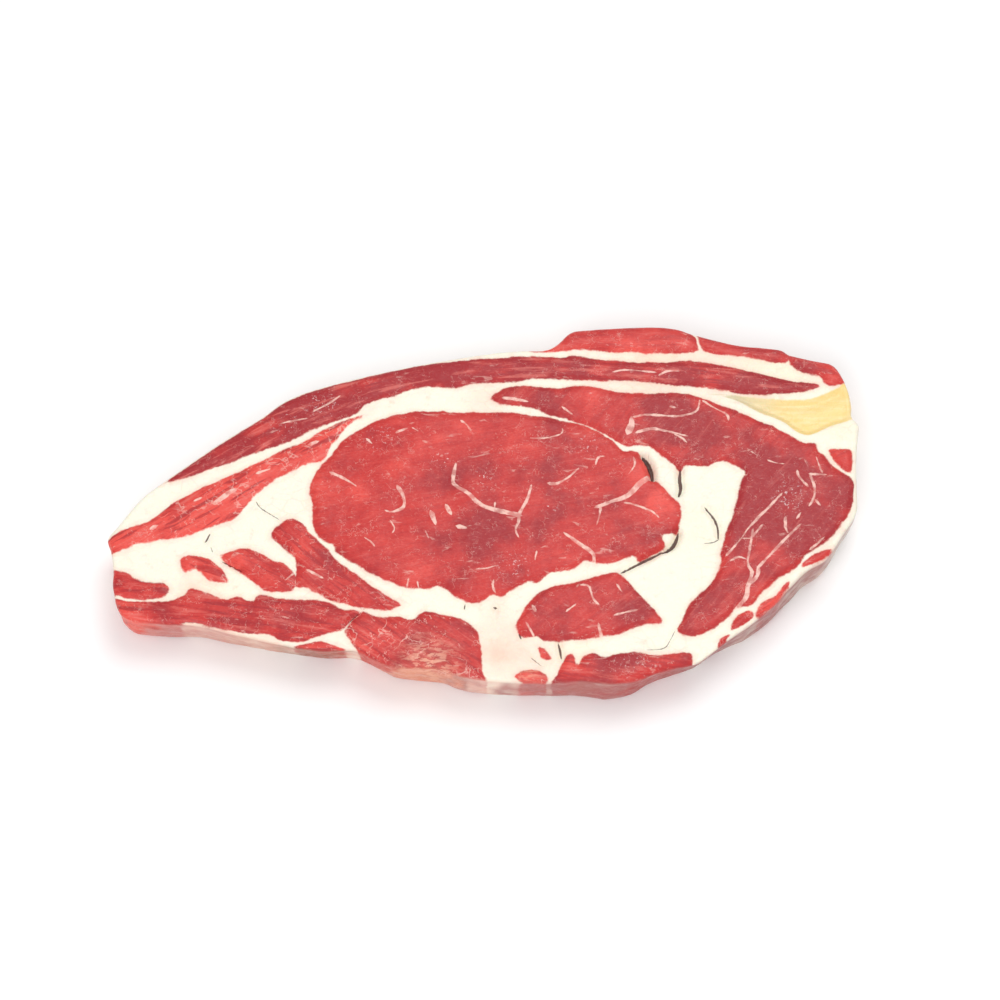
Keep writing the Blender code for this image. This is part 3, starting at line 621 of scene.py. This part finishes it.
stretch_x = [x for x, _, _ in FILM_AND_SHADE_STRETCHES]
film_x = xy[:, 0] + 7.0 * mid + 0.5 * (THICKNESS - z)
film_and_shade_colour = np.column_stack([
    np.interp(film_x, stretch_x, [colour[i] for _, colour, _ in FILM_AND_SHADE_STRETCHES]) for i in range(3)])
film_and_shade_cover = np.interp(film_x, stretch_x, [cover for _, _, cover in FILM_AND_SHADE_STRETCHES])
film_and_shade_colour += (np.array(BACK_FILM) - film_and_shade_colour) * (1.0 - facing_front)[:, None]
film_and_shade_cover += (BACK_FILM_COVER - film_and_shade_cover) * (1.0 - facing_front)
film_and_shade_cover = film_and_shade_cover * step_between(0.1, 2.2, THICKNESS - z) * (~on_foot)
film_and_shade_cover = film_and_shade_cover * (1.0 + 0.4 * uneven(rest, 6.0, 11.0)).clip(0.0, 1.0)

pinkness = np.clip(spots([
    (1.0, 6.0, -54.0, 17.0), (0.7, -18.0, -60.0, 14.0), (0.35, 20.0, -56.0, 14.0),
    (0.35, -40.0, 36.5, 6.0), (0.5, 119.0, 16.0, 6.0), (0.4, 115.0, -20.0, 8.0),
    (0.3, 4.0, -38.0, 9.0), (0.5, 95.0, 43.0, 7.0), (0.9, -90.0, -47.0, 16.0),
    (0.8, -72.0, -51.0, 12.0), (0.5, -98.0, -32.0, 8.0), (0.4, 0.0, 40.0, 12.0),
    (0.5, 60.0, 44.5, 30.0), (0.4, 80.0, 56.0, 30.0),
]), 0.0, 1.0)
yellowness = np.clip(spots([
    (0.7, 58.0, 61.0, 22.0), (0.8, 100.0, 54.0, 26.0), (0.5, 122.0, 28.0, 12.0),
    (0.35, -90.0, -40.0, 25.0), (0.4, 30.0, -55.0, 14.0), (0.3, 72.0, -10.0, 16.0),
]), 0.0, 1.0)
# Painted highlights: the places where small white flecks are painted into the red to stand for wet glints
glints = np.clip(spots([
    (1.0, -14.0, 16.0, 5.0), (1.0, 23.0, -1.8, 3.5), (0.8, 0.0, 9.0, 5.0),
    (0.8, 104.0, 2.0, 9.0), (0.7, -56.0, 38.0, 9.0), (0.7, -68.0, 30.0, 7.0),
    (0.5, 36.0, 22.0, 8.0), (0.6, 10.0, -24.0, 9.0), (0.5, -35.0, 24.0, 8.0),
    (0.5, 50.0, -57.0, 14.0),
]), 0.0, 1.0)
fatty_meat = spots([
    (0.85, -18.0, -60.0, 15.0), (0.5, 15.0, -63.0, 8.0),
])


bright_spots = spots([
    (0.7, 61.0, -3.0, 10.0), (0.5, -118.0, -41.0, 14.0), (0.5, -85.0, -21.0, 7.0),
    (0.5, 30.0, -60.0, 9.0), (0.4, 60.0, -58.0, 9.0), (0.3, -50.0, 0.0, 16.0),
    (0.4, 95.0, -36.0, 9.0), (0.3, -60.0, -14.0, 10.0), (0.3, -33.0, -48.0, 14.0),
    (0.3, 40.0, 40.0, 22.0),
])
dull_spots = spots([
    (0.45, 106.0, -6.0, 22.0), (0.4, 96.0, 10.0, 18.0), (0.15, -70.0, -42.0, 18.0),
    (0.3, 5.0, -14.0, 22.0), (0.4, 105.0, 47.0, 14.0), (0.3, 60.0, 36.0, 16.0),
    (0.3, 46.0, -56.0, 9.0), (0.15, -104.0, -40.0, 12.0),
])
tone = redness + 0.15 * slow + 0.10 * mid + bright_spots - dull_spots
for i in range(2):
    keep("vein_side_" + "ab"[i], vein_side[:, 3 * i:3 * i + 3])
    keep("vein_width_" + "ab"[i], vein_width[:, 3 * i:3 * i + 3])
keep("lean_depth", lean_depth)
keep("split_side", split_side)
keep("split_width", split_width)
keep("ligament_depth", ligament)
keep("fibre_place", np.column_stack([fibre_along, fibre_across, z * MM]))
keep("cut_look", np.column_stack([marbling, streaky, glints]))
keep("tints", np.column_stack([np.clip(tone, 0, 1), pinkness, yellowness]))
keep("film", np.column_stack([film_and_shade_colour, film_and_shade_cover]))
keep("fatty_meat", fatty_meat)
print("attributes:", [a.name for a in skin_mesh.attributes if not a.name.startswith(".")])

# %% [markdown]
# The looks are one material, because on real meat red and fat run into each other. Helpers first:
# each adds one node and joins it up, so that the recipe below reads like one. The patterns of
# veins, of grain and of fine wisps of fat are node groups with named inputs, built once.

# %% Helpers for materials
class Recipe:
    """Adds nodes to a node tree, one short call for each."""

    def __init__(self, tree):
        self.tree = tree

    def put(self, socket, value):
        if isinstance(value, bpy.types.NodeSocket):
            self.tree.links.new(value, socket)
        else:
            socket.default_value = value

    def attribute(self, name, output="Vector"):
        node = self.tree.nodes.new("ShaderNodeAttribute")
        node.attribute_name = name
        return node.outputs[output]

    def parts(self, vector):
        node = self.tree.nodes.new("ShaderNodeSeparateXYZ")
        self.put(node.inputs[0], vector)
        return node.outputs

    def maths(self, how, *values):
        node = self.tree.nodes.new("ShaderNodeMath")
        node.operation = how
        for socket, value in zip(node.inputs, values):
            self.put(socket, value)
        return node.outputs[0]

    def span(self, value, low, high, to_low=0.0, to_high=1.0):
        """Value from low to high becomes to_low to to_high, with soft ends."""
        node = self.tree.nodes.new("ShaderNodeMapRange")
        node.interpolation_type = "SMOOTHSTEP"
        for name, given in (("Value", value), ("From Min", low), ("From Max", high),
                            ("To Min", to_low), ("To Max", to_high)):
            self.put(node.inputs[name], given)
        return node.outputs[0]

    def mix(self, share, first, second, how="MIX"):
        node = self.tree.nodes.new("ShaderNodeMix")
        node.data_type = "RGBA"
        node.blend_type = how
        self.put(node.inputs["Factor"], share)
        self.put(node.inputs[6], first)
        self.put(node.inputs[7], second)
        return node.outputs[2]

    def noise(self, where, size, detail=2.0, roughness=0.5, distortion=0.0):
        """Soft noise whose lumps are about the given size in metres."""
        node = self.tree.nodes.new("ShaderNodeTexNoise")
        self.put(node.inputs["Vector"], where)
        node.inputs["Scale"].default_value = 1.0 / size
        node.inputs["Detail"].default_value = detail
        node.inputs["Roughness"].default_value = roughness
        node.inputs["Distortion"].default_value = distortion
        return node.outputs["Fac"]

    def cells(self, where, size):
        node = self.tree.nodes.new("ShaderNodeTexVoronoi")
        node.feature = "DISTANCE_TO_EDGE"
        self.put(node.inputs["Vector"], where)
        node.inputs["Scale"].default_value = 1.0 / size
        return node.outputs["Distance"]

    def stretched(self, where, turn, scale):
        node = self.tree.nodes.new("ShaderNodeMapping")
        self.put(node.inputs["Vector"], where)
        node.inputs["Rotation"].default_value = (0.0, 0.0, turn)
        node.inputs["Scale"].default_value = scale
        return node.outputs[0]


def new_group(name, inputs, outputs):
    group = bpy.data.node_groups.new(name, "ShaderNodeTree")
    for socket, kind in inputs:
        group.interface.new_socket(socket, in_out="INPUT", socket_type=kind)
    for socket, kind in outputs:
        group.interface.new_socket(socket, in_out="OUTPUT", socket_type=kind)
    return group, group.nodes.new("NodeGroupInput").outputs, group.nodes.new("NodeGroupOutput").inputs


def place_group(recipe, group, **values):
    node = recipe.tree.nodes.new("ShaderNodeGroup")
    node.node_tree = group
    for name, value in values.items():
        recipe.put(node.inputs[name.replace("_", " ")], value)
    return node.outputs


# %% [markdown]
# The vein group turns the side and width of three bands into one mask. A little noise moves the
# edge in and out, because fat never ends in a clean line. The grain group makes the fine texture
# of cut muscle: short fibre ends, seen as tiny pale and dark flecks, and soft larger patches. The
# wisp group draws the finest fat as short broken hairs.

# %% The vein, grain and wisp groups
vein_group, given, result = new_group(
    "fat veins",
    [("Side", "NodeSocketVector"), ("Width", "NodeSocketVector"), ("Wobble", "NodeSocketFloat")],
    [("Mask", "NodeSocketFloat")])
r = Recipe(vein_group)
masks = []
for side, width in zip(r.parts(given["Side"]), r.parts(given["Width"])):
    into = r.maths("SUBTRACT", width, r.maths("ABSOLUTE", side))
    masks.append(r.span(r.maths("ADD", into, given["Wobble"]), -0.16, 0.14))
r.put(result["Mask"], r.maths("MAXIMUM", r.maths("MAXIMUM", masks[0], masks[1]), masks[2]))

grain_group, given, result = new_group(
    "meat grain", [("Place", "NodeSocketVector")],
    [("Fibre", "NodeSocketFloat"), ("Patches", "NodeSocketFloat"), ("Flecks", "NodeSocketFloat"),
     ("Height", "NodeSocketFloat")])
r = Recipe(grain_group)
fibre = r.noise(r.stretched(given["Place"], 0.5, (1.0, 1.9, 1.0)), 0.0011, 3.0, 0.6)
patches = r.noise(given["Place"], 0.016, 3.0, 0.55)
streaks = r.noise(r.stretched(given["Place"], 0.35, (0.55, 1.7, 1.0)), 0.0042, 4.0, 0.62, 0.6)
flecks = r.span(streaks, 0.63, 0.72)
r.put(result["Fibre"], fibre)
r.put(result["Patches"], patches)
r.put(result["Flecks"], flecks)
bundles = r.noise(given["Place"], 0.0035, 2.0)
r.put(result["Height"], r.maths("ADD", r.maths("MULTIPLY", fibre, 0.5), r.maths("MULTIPLY", bundles, 0.8)))

wisp_group, given, result = new_group(
    "fat wisps", [("Place", "NodeSocketVector")],
    [("Fine", "NodeSocketFloat"), ("Coarse", "NodeSocketFloat")])
r = Recipe(wisp_group)
for key, size, thin, gate_size in (("Fine", 0.0034, 0.016, 0.0042), ("Coarse", 0.0085, 0.022, 0.0110)):
    ridge = r.maths("ABSOLUTE", r.maths("SUBTRACT", r.noise(given["Place"], size, 3.0, 0.6, 0.15), 0.5))
    gate = r.span(r.noise(r.stretched(given["Place"], 1.0, (1.0, 1.0, 1.0)), gate_size, 2.0), 0.48, 0.60)
    r.put(result[key], r.maths("MULTIPLY", r.span(ridge, thin, 0.0), gate))
print("groups:", [g.name for g in bpy.data.node_groups])

# %% [markdown]
# Lean meat is a clear red that turns bluer and darker in the working muscles and more orange in the
# fatty end. Fat is cream, pink where blood has stained it and yellow where it is old and firm. The
# wall is wrapped in a thin dull film. Its colours are partly the film's own and partly painted shade,
# darker along the front wall and below the flap. All of it is moist, so the roughness is low and
# breaks up into small wet spots. A few small white flecks in the red are painted highlights for wet glints.

# %% The steak's material
LEAN_DARK = (0.36, 0.018, 0.024, 1.0)
LEAN_MID = (0.57, 0.036, 0.032, 1.0)
LEAN_BRIGHT = (0.78, 0.080, 0.062, 1.0)
LEAN_PALE = (0.78, 0.20, 0.165, 1.0)
FAT_CREAM = (0.90, 0.865, 0.73, 1.0)
FAT_PINK = (0.90, 0.62, 0.50, 1.0)
FAT_MARGIN = (0.92, 0.60, 0.50, 1.0)
FAT_YELLOW = (0.92, 0.80, 0.58, 1.0)
VEIN_FAT = (0.88, 0.56, 0.48, 1.0)
LIGAMENT_YELLOW = (0.88, 0.66, 0.27, 1.0)
LIGAMENT_SHADE_GREY = (0.66, 0.56, 0.36, 1.0)
PAINTED_SPLIT_SHADE = (0.07, 0.010, 0.008, 1.0)
PAINTED_GLINT_WHITE = (0.95, 0.86, 0.84, 1.0)
FATTY_ORANGE = (0.88, 0.48, 0.34, 1.0)
BLOOD_STAIN = (0.86, 0.55, 0.42, 1.0)
CRACK_BROWN = (0.72, 0.40, 0.28, 1.0)
STRAND_PALE = (0.94, 0.80, 0.50, 1.0)
FILM_PALE = (0.80, 0.66, 0.58, 1.0)
BUMP_STRENGTH = 0.55
BUMP_DISTANCE = 0.0007

meat = bpy.data.materials.new("raw_meat")
meat.use_nodes = True
shader = meat.node_tree.nodes["Principled BSDF"]
m = Recipe(meat.node_tree)
where = meat.node_tree.nodes.new("ShaderNodeTexCoord").outputs["Object"]
grain = place_group(m, grain_group, Place=where)
ragged = m.maths("SUBTRACT", m.noise(where, 0.0016, 3.0, 0.6), 0.5)
wander = m.maths("SUBTRACT", m.noise(where, 0.006, 2.0), 0.5)
wobble = m.maths("ADD", ragged, m.maths("MULTIPLY", wander, 1.7))

tone_part, pink_part, yellow_part = m.parts(m.attribute("tints"))
ligament_part = m.attribute("ligament_depth", "Fac")
marbling_part, streaky_part, glint_part = m.parts(m.attribute("cut_look"))
fibres_at = m.attribute("fibre_place")
tone_now = m.maths("ADD", tone_part, m.maths("MULTIPLY", m.maths("SUBTRACT", grain["Patches"], 0.5), 1.5))
red = m.mix(m.span(tone_now, 0.15, 0.55), LEAN_DARK, LEAN_MID)
red = m.mix(m.span(tone_now, 0.55, 1.0), red, LEAN_BRIGHT)
red = m.mix(m.span(grain["Fibre"], 0.52, 0.80, 0.0, 0.38), red, LEAN_PALE)
red = m.mix(m.span(grain["Fibre"], 0.46, 0.26, 0.0, 0.40), red, LEAN_DARK)
streaks = m.noise(m.stretched(fibres_at, 0.0, (0.13, 1.0, 0.6)), 0.0021, 4.0, 0.62, 0.4)
red = m.mix(m.maths("MULTIPLY", streaky_part, m.span(streaks, 0.50, 0.38, 0.0, 0.95)), red, LEAN_DARK)
red = m.mix(m.maths("MULTIPLY", streaky_part, m.span(streaks, 0.53, 0.68, 0.0, 0.55)), red, LEAN_PALE)
hairs = place_group(m, wisp_group, Place=where)
fine_amount = m.maths("ADD", m.maths("MULTIPLY", marbling_part, 0.5), 0.12)
hair_share = m.maths("MULTIPLY", hairs["Fine"], fine_amount)
red = m.mix(hair_share, red, VEIN_FAT)
coarse_amount = m.span(marbling_part, 0.36, 1.0, 0.03, 0.6)
red = m.mix(m.maths("MULTIPLY", hairs["Coarse"], coarse_amount), red, VEIN_FAT)
red = m.mix(m.maths("MULTIPLY", grain["Flecks"], 0.4), red, VEIN_FAT)
# Painted highlights: small white flecks in the red stand for wet glints
painted_glint_spots = m.span(m.noise(where, 0.0009, 2.0, 0.6), 0.60, 0.68, 0.0, 0.8)
red = m.mix(m.maths("MULTIPLY", painted_glint_spots, glint_part), red, PAINTED_GLINT_WHITE)
fatty = m.attribute("fatty_meat", "Fac")
fatty_grain = m.noise(m.stretched(where, -0.6, (0.7, 1.8, 1.0)), 0.0026, 4.0, 0.65, 0.3)
fatty_flecks = m.span(fatty_grain, 0.47, 0.56)
red = m.mix(m.maths("MULTIPLY", fatty, m.maths("ADD", m.maths("MULTIPLY", fatty_flecks, 0.75), 0.12)),
            red, FATTY_ORANGE)

masks = []
margins = []
for part in m.parts(m.attribute("lean_depth")):
    masks.append(m.span(m.maths("ADD", part, wobble), -0.34, 0.38))
    margins.append(m.span(m.maths("ADD", part, wobble), -2.4, 0.1))
lean_mask = m.maths("MAXIMUM", m.maths("MAXIMUM", masks[0], masks[1]), masks[2])
margin = m.maths("MAXIMUM", m.maths("MAXIMUM", margins[0], margins[1]), margins[2])
vein_masks = [
    place_group(m, vein_group, Side=m.attribute("vein_side_" + key), Width=m.attribute("vein_width_" + key),
                Wobble=m.maths("MULTIPLY", wobble, 0.55))["Mask"] for key in "ab"]
vein_mask = m.maths("MAXIMUM", *vein_masks)
vein_mask = m.maths("MULTIPLY", vein_mask, m.span(m.noise(where, 0.0024, 3.0), 0.36, 0.60, 0.35, 0.95))
red = m.mix(vein_mask, red, VEIN_FAT)

fat_patches = m.noise(where, 0.012, 4.0, 0.6)
yellow_share = m.maths("MULTIPLY", yellow_part, m.span(fat_patches, 0.25, 0.65, 0.4, 1.0))
fat = m.mix(yellow_share, FAT_CREAM, FAT_YELLOW)
fat = m.mix(m.maths("MULTIPLY", pink_part, m.span(fat_patches, 0.3, 0.6, 0.55, 1.0)), fat, FAT_PINK)
stain = m.span(m.noise(where, 0.0045, 4.0, 0.65), 0.56, 0.74, 0.0, 0.35)
fat = m.mix(stain, fat, BLOOD_STAIN)
fat_cracks = m.span(m.cells(m.stretched(where, 0.4, (1.0, 1.4, 1.0)), 0.0052), 0.10, 0.0)
crack_share = m.maths("MULTIPLY", fat_cracks, m.span(fat_patches, 0.50, 0.64, 0.0, 0.12))
fat = m.mix(crack_share, fat, CRACK_BROWN)
fat = m.mix(m.maths("MULTIPLY", margin, m.span(fat_patches, 0.35, 0.65, 0.15, 0.55)), fat, FAT_MARGIN)
body = m.mix(lean_mask, fat, red)

ligament_mask = m.span(m.maths("ADD", ligament_part, m.maths("MULTIPLY", ragged, 0.5)), -0.2, 0.5)
place_x = m.parts(where)[0]
# Painted shade: the ligament's left end, sunk in its hollow, is painted grey
shaded_left_end = m.span(place_x, 0.108, 0.084)
ligament_colour = m.mix(shaded_left_end, LIGAMENT_YELLOW, LIGAMENT_SHADE_GREY)
strands = m.noise(m.stretched(where, 0.32, (0.35, 2.4, 1.0)), 0.004, 3.0)
ligament_colour = m.mix(m.span(strands, 0.4, 0.7, 0.0, 0.35), ligament_colour, STRAND_PALE)
body = m.mix(ligament_mask, body, ligament_colour)

# Painted shade: the film colour laid on the wall is partly darkened to stand for shade
film_node = meat.node_tree.nodes.new("ShaderNodeAttribute")
film_node.attribute_name = "film"
film_noise = m.noise(m.stretched(where, 0.0, (0.6, 0.6, 1.6)), 0.006, 3.0, 0.6)
film_break = m.span(film_noise, 0.30, 0.55, 0.70, 1.0)
film_and_shade_share = m.maths("MULTIPLY", film_node.outputs["Alpha"], film_break)
body = m.mix(film_and_shade_share, body, film_node.outputs["Color"])
streak_noise = m.noise(m.stretched(where, 0.0, (0.4, 0.4, 2.2)), 0.0045, 3.0, 0.6)
pale_streaks = m.span(streak_noise, 0.56, 0.68, 0.0, 0.22)
body = m.mix(m.maths("MULTIPLY", pale_streaks, film_node.outputs["Alpha"]), body, FILM_PALE)

# Painted shade: the inside of each split is painted near black
split_shade_mask = place_group(m, vein_group, Side=m.attribute("split_side"), Width=m.attribute("split_width"),
                         Wobble=m.maths("MULTIPLY", ragged, 0.35))["Mask"]
body = m.mix(m.maths("MULTIPLY", split_shade_mask, 0.92), body, PAINTED_SPLIT_SHADE)
m.put(shader.inputs["Base Color"], body)

wet = m.span(m.noise(where, 0.0026, 3.0, 0.6), 0.35, 0.65)
rough = m.maths("ADD", m.maths("MULTIPLY", wet, 0.22), m.span(lean_mask, 0.0, 1.0, 0.40, 0.30))
rough = m.maths("MULTIPLY", rough, m.span(ligament_mask, 0.0, 1.0, 1.0, 0.6))
m.put(shader.inputs["Roughness"], rough)
shader.inputs["IOR"].default_value = 1.38
shader.inputs["Subsurface Weight"].default_value = 0.12
shader.inputs["Subsurface Radius"].default_value = (1.0, 0.35, 0.2)
shader.inputs["Subsurface Scale"].default_value = 0.003
shader.inputs["Coat Weight"].default_value = 0.08
shader.inputs["Coat Roughness"].default_value = 0.12

fat_height = m.maths("ADD", m.maths("MULTIPLY", m.noise(where, 0.0030, 4.0, 0.6), 0.9),
                     m.maths("MULTIPLY", fat_cracks, -0.12))
height = m.maths("ADD", m.maths("MULTIPLY", grain["Height"], lean_mask),
                 m.maths("MULTIPLY", fat_height, m.maths("SUBTRACT", 1.0, lean_mask)))
height = m.maths("ADD", height, m.maths("MULTIPLY", vein_mask, 0.25))
bump = meat.node_tree.nodes.new("ShaderNodeBump")
bump.inputs["Strength"].default_value = BUMP_STRENGTH
bump.inputs["Distance"].default_value = BUMP_DISTANCE
m.put(bump.inputs["Height"], height)
m.put(shader.inputs["Normal"], bump.outputs["Normal"])

skin_mesh.materials.clear()
skin_mesh.materials.append(meat)
skin_mesh.shade_smooth()
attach(steak, "root")
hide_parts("steak")
print("material nodes:", len(meat.node_tree.nodes))

# %% [markdown]
# The slice lies on a plain white table under broad soft light, which comes from behind the viewer
# and from above. Large lamps give meat small soft highlights; a small lamp would cover
# it with hard white dots.

# %% Table, lights and camera
TABLE_WHITE = (0.96, 0.96, 0.96, 1.0)
TABLE_SIZE = 6.0
TABLE_DROP = 0.0004
SKY_STRENGTH = 0.60
bm = bmesh.new()
bmesh.ops.create_grid(bm, x_segments=1, y_segments=1, size=TABLE_SIZE)
table_mesh = bpy.data.meshes.new("table_top")
bm.to_mesh(table_mesh)
bm.free()
table = bpy.data.objects.new("table_top", table_mesh)
bpy.context.scene.collection.objects.link(table)
white = bpy.data.materials.new("white_table")
white.use_nodes = True
white_shader = white.node_tree.nodes["Principled BSDF"]
white_shader.inputs["Base Color"].default_value = TABLE_WHITE
white_shader.inputs["Roughness"].default_value = 0.8
white_shader.inputs["Specular IOR Level"].default_value = 0.1
table_mesh.materials.append(white)
table.location.z = -TABLE_DROP


def soft_lamp(name, spot, aim, size, power):
    lamp = bpy.data.lights.new(name, "AREA")
    lamp.shape = "SQUARE"
    lamp.size = size
    lamp.energy = power
    holder = bpy.data.objects.new(name, lamp)
    holder.location = spot
    holder.rotation_euler = (Vector(aim) - Vector(spot)).to_track_quat("-Z", "Y").to_euler()
    bpy.context.scene.collection.objects.link(holder)


soft_lamp("front lamp", (-0.25, -0.9, 1.0), (0, 0, 0), 0.9, 8.0)
soft_lamp("top lamp", (0.3, 0.5, 1.2), (0, 0, 0), 0.8, 6.5)
sky = bpy.data.worlds.new("pale room")
sky.use_nodes = True
sky.node_tree.nodes["Background"].inputs["Color"].default_value = (1.0, 1.0, 1.0, 1.0)
sky.node_tree.nodes["Background"].inputs["Strength"].default_value = SKY_STRENGTH
bpy.context.scene.world = sky
bpy.context.scene.view_settings.view_transform = "Standard"

CAMERA_HEIGHT = math.radians(64.0)
CAMERA_AWAY = 944.0
LENS = 100.0
SENSOR = 36.0
LOOK_AT = (5.5, 1.0)
aim = np.array([LOOK_AT[0] - MIDDLE[0], LOOK_AT[1] - MIDDLE[1], THICKNESS])
spot = aim + CAMERA_AWAY * np.array([0.0, -math.cos(CAMERA_HEIGHT), math.sin(CAMERA_HEIGHT)])
camera_data = bpy.data.cameras.new("camera")
camera_data.lens = LENS
camera_data.sensor_width = SENSOR
camera = bpy.data.objects.new("camera", camera_data)
camera.location = Vector(spot) * MM
camera.rotation_euler = (math.pi / 2.0 - CAMERA_HEIGHT, 0.0, 0.0)
bpy.context.scene.collection.objects.link(camera)
bpy.context.scene.camera = camera
print("camera, mm:", np.round(spot, 1))

# %% [markdown]
# Last, the scene is brought up to date.

# %% Finish
bpy.context.view_layer.update()
